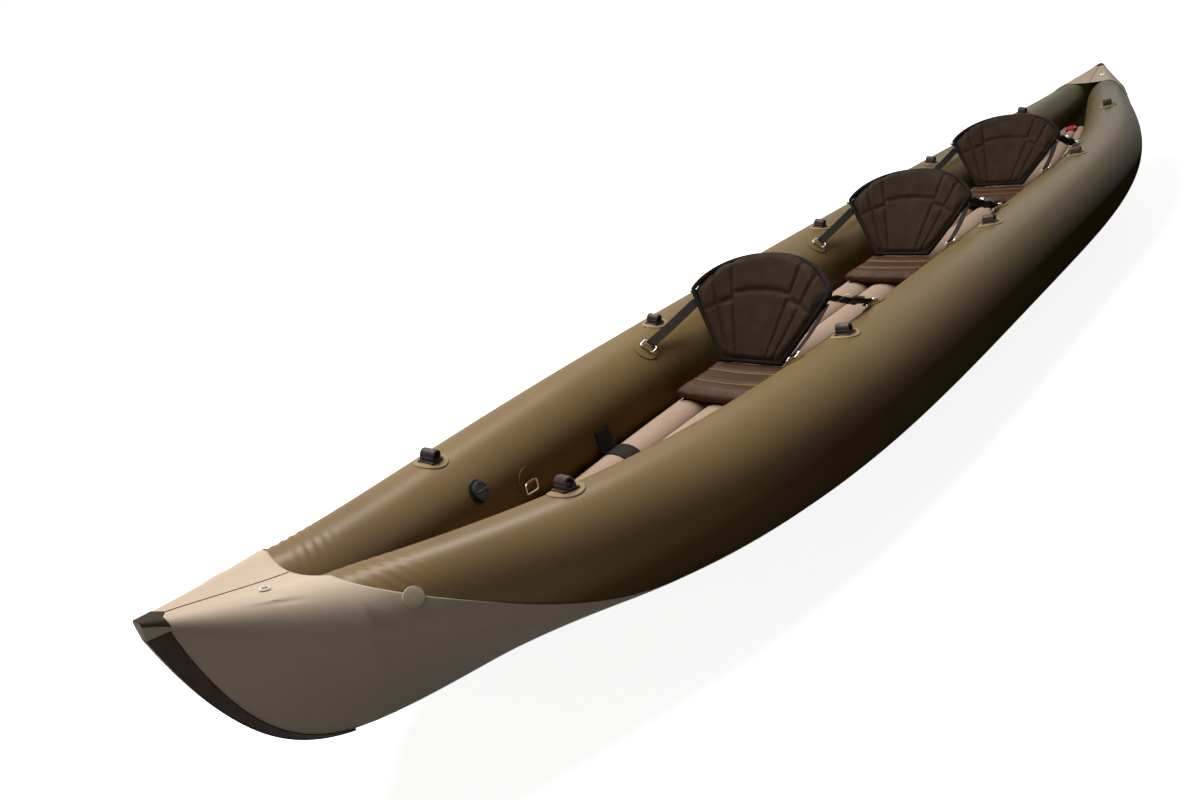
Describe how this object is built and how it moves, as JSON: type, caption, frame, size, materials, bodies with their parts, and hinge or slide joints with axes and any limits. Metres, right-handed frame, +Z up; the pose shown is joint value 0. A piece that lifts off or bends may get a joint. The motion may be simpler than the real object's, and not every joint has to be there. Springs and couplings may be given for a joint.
{
  "type": "inflatable kayak",
  "caption": "Inflatable touring kayak with olive side tubes, grey end caps and air floor, strapped seats with folding backrests, valves and lashing loops",
  "frame": {"origin": "on the ground under the middle of the hull", "axes": "+X towards the stern along the length, +Y to starboard, +Z up"},
  "size_m": [4.997, 0.884, 0.5018],
  "materials": {
    "tube_fabric": "satin",
    "skin_fabric": "satin",
    "floor_fabric": "satin",
    "strip_rubber": "satin",
    "patch_fabric": "satin",
    "steel": "polished",
    "loop_rubber": "satin",
    "webbing": "matte",
    "valve_plastic": "satin",
    "plunger_plastic": "satin",
    "red_plastic": "satin",
    "spring_steel": "polished",
    "seat_fabric": "matte",
    "buckle_plastic": "satin"
  },
  "bodies": {
    "hull": {"port_tube": "tube_fabric", "starboard_tube": "tube_fabric", "bottom_skin": "skin_fabric", "bow_cap": "skin_fabric", "stern_cap": "skin_fabric", "bow_stem_strip": "strip_rubber", "stern_stem_strip": "strip_rubber", "cap_patches": "patch_fabric", "grommets": "steel", "floor_mattress": "floor_fabric", "port_valve_body": "valve_plastic", "port_valve_spring": "spring_steel", "starboard_valve_body": "valve_plastic", "starboard_valve_spring": "spring_steel", "floor_valve_body": "valve_plastic", "floor_valve_spring": "spring_steel", "lashing_patches": "patch_fabric", "port_lashing_loops": "loop_rubber", "starboard_lashing_loops": "loop_rubber", "free_ring_patches": "patch_fabric", "foot_strap": "webbing", "seat_1_cushion": "seat_fabric", "seat_1_front_straps": "webbing", "seat_1_rear_straps": "webbing", "seat_1_rings": "steel", "seat_1_ring_patches": "patch_fabric", "seat_1_buckles": "buckle_plastic", "seat_2_cushion": "seat_fabric", "seat_2_front_straps": "webbing", "seat_2_rear_straps": "webbing", "seat_2_rings": "steel", "seat_2_ring_patches": "patch_fabric", "seat_2_buckles": "buckle_plastic", "seat_3_cushion": "seat_fabric", "seat_3_front_straps": "webbing", "seat_3_rear_straps": "webbing", "seat_3_rings": "steel", "seat_3_ring_patches": "patch_fabric", "seat_3_buckles": "buckle_plastic"},
    "port_cap": {"port_valve_cap": "valve_plastic"},
    "port_plunger": {"port_valve_plunger": "plunger_plastic"},
    "starboard_cap": {"starboard_valve_cap": "valve_plastic"},
    "starboard_plunger": {"starboard_valve_plunger": "plunger_plastic"},
    "floor_cap": {"floor_valve_cap": "red_plastic"},
    "floor_plunger": {"floor_valve_plunger": "plunger_plastic"},
    "port_ring": {"port_free_ring": "steel"},
    "starboard_ring": {"starboard_free_ring": "steel"},
    "backrest_1": {"seat_1_backrest": "seat_fabric"},
    "slider_1_port": {"seat_1_port_slider": "steel"},
    "slider_1_starboard": {"seat_1_starboard_slider": "steel"},
    "backrest_2": {"seat_2_backrest": "seat_fabric"},
    "slider_2_port": {"seat_2_port_slider": "steel"},
    "slider_2_starboard": {"seat_2_starboard_slider": "steel"},
    "backrest_3": {"seat_3_backrest": "seat_fabric"},
    "slider_3_port": {"seat_3_port_slider": "steel"},
    "slider_3_starboard": {"seat_3_starboard_slider": "steel"}
  },
  "joints": [
    {"name": "port_valve_cap_turn", "type": "hinge", "parent": "hull", "child": "port_cap", "pos_m": [-1.82, -0.09486, 0.32264], "axis": [0.1972, 0.8956, 0.3987], "range_deg": [0, 90]},
    {"name": "port_valve_press", "type": "slide", "parent": "hull", "child": "port_plunger", "axis": [-0.1972, -0.8956, -0.3987], "range_m": [0, 0.004], "stiffness_N_per_m": 400, "springref_m": -0.002, "deforming": ["port_valve_spring"]},
    {"name": "starboard_valve_cap_turn", "type": "hinge", "parent": "hull", "child": "starboard_cap", "pos_m": [-1.82, 0.09486, 0.32264], "axis": [0.1972, -0.8956, 0.3987], "range_deg": [0, 90]},
    {"name": "starboard_valve_press", "type": "slide", "parent": "hull", "child": "starboard_plunger", "axis": [-0.1972, 0.8956, -0.3987], "range_m": [0, 0.004], "stiffness_N_per_m": 400, "springref_m": -0.002, "deforming": ["starboard_valve_spring"]},
    {"name": "floor_valve_cap_turn", "type": "hinge", "parent": "hull", "child": "floor_cap", "pos_m": [1.98, 0, 0.2784], "axis": [-0.1935, 0, 0.9811], "range_deg": [0, 90]},
    {"name": "floor_valve_press", "type": "slide", "parent": "hull", "child": "floor_plunger", "axis": [0.1935, 0, -0.9811], "range_m": [0, 0.004], "stiffness_N_per_m": 400, "springref_m": -0.002, "deforming": ["floor_valve_spring"]},
    {"name": "port_free_ring_swing", "type": "hinge", "parent": "hull", "child": "port_ring", "pos_m": [-1.67918, -0.10038, 0.27238], "axis": [0.9867, -0.1279, -0.1003], "range_deg": [0, 150]},
    {"name": "starboard_free_ring_swing", "type": "hinge", "parent": "hull", "child": "starboard_ring", "pos_m": [-1.67918, 0.10038, 0.27238], "axis": [-0.9867, -0.1279, 0.1003], "range_deg": [0, 150]},
    {"name": "seat_1_backrest_fold", "type": "hinge", "parent": "hull", "child": "backrest_1", "pos_m": [-0.948, 0, 0.2603], "axis": [0, -1, 0], "range_deg": [0, 65], "deforming": ["seat_1_front_straps", "seat_1_rear_straps"]},
    {"name": "seat_1_port_slide", "type": "slide", "parent": "hull", "child": "slider_1_port", "axis": [-0.9239, 0.0671, 0.3766], "range_m": [-0.02, 0.025]},
    {"name": "seat_1_starboard_slide", "type": "slide", "parent": "hull", "child": "slider_1_starboard", "axis": [-0.9239, -0.0671, 0.3766], "range_m": [-0.02, 0.025]},
    {"name": "seat_2_backrest_fold", "type": "hinge", "parent": "hull", "child": "backrest_2", "pos_m": [0.007, 0, 0.2603], "axis": [0, -1, 0], "range_deg": [0, 65], "deforming": ["seat_2_front_straps", "seat_2_rear_straps"]},
    {"name": "seat_2_port_slide", "type": "slide", "parent": "hull", "child": "slider_2_port", "axis": [-0.9227, 0.0717, 0.3788], "range_m": [-0.02, 0.025]},
    {"name": "seat_2_starboard_slide", "type": "slide", "parent": "hull", "child": "slider_2_starboard", "axis": [-0.9227, -0.0717, 0.3788], "range_m": [-0.02, 0.025]},
    {"name": "seat_3_backrest_fold", "type": "hinge", "parent": "hull", "child": "backrest_3", "pos_m": [0.962, 0, 0.2603], "axis": [0, -1, 0], "range_deg": [0, 65], "deforming": ["seat_3_front_straps", "seat_3_rear_straps"]},
    {"name": "seat_3_port_slide", "type": "slide", "parent": "hull", "child": "slider_3_port", "axis": [-0.9342, 0.0089, 0.3567], "range_m": [-0.02, 0.025]},
    {"name": "seat_3_starboard_slide", "type": "slide", "parent": "hull", "child": "slider_3_starboard", "axis": [-0.9342, -0.0089, 0.3567], "range_m": [-0.02, 0.025]}
  ]
}
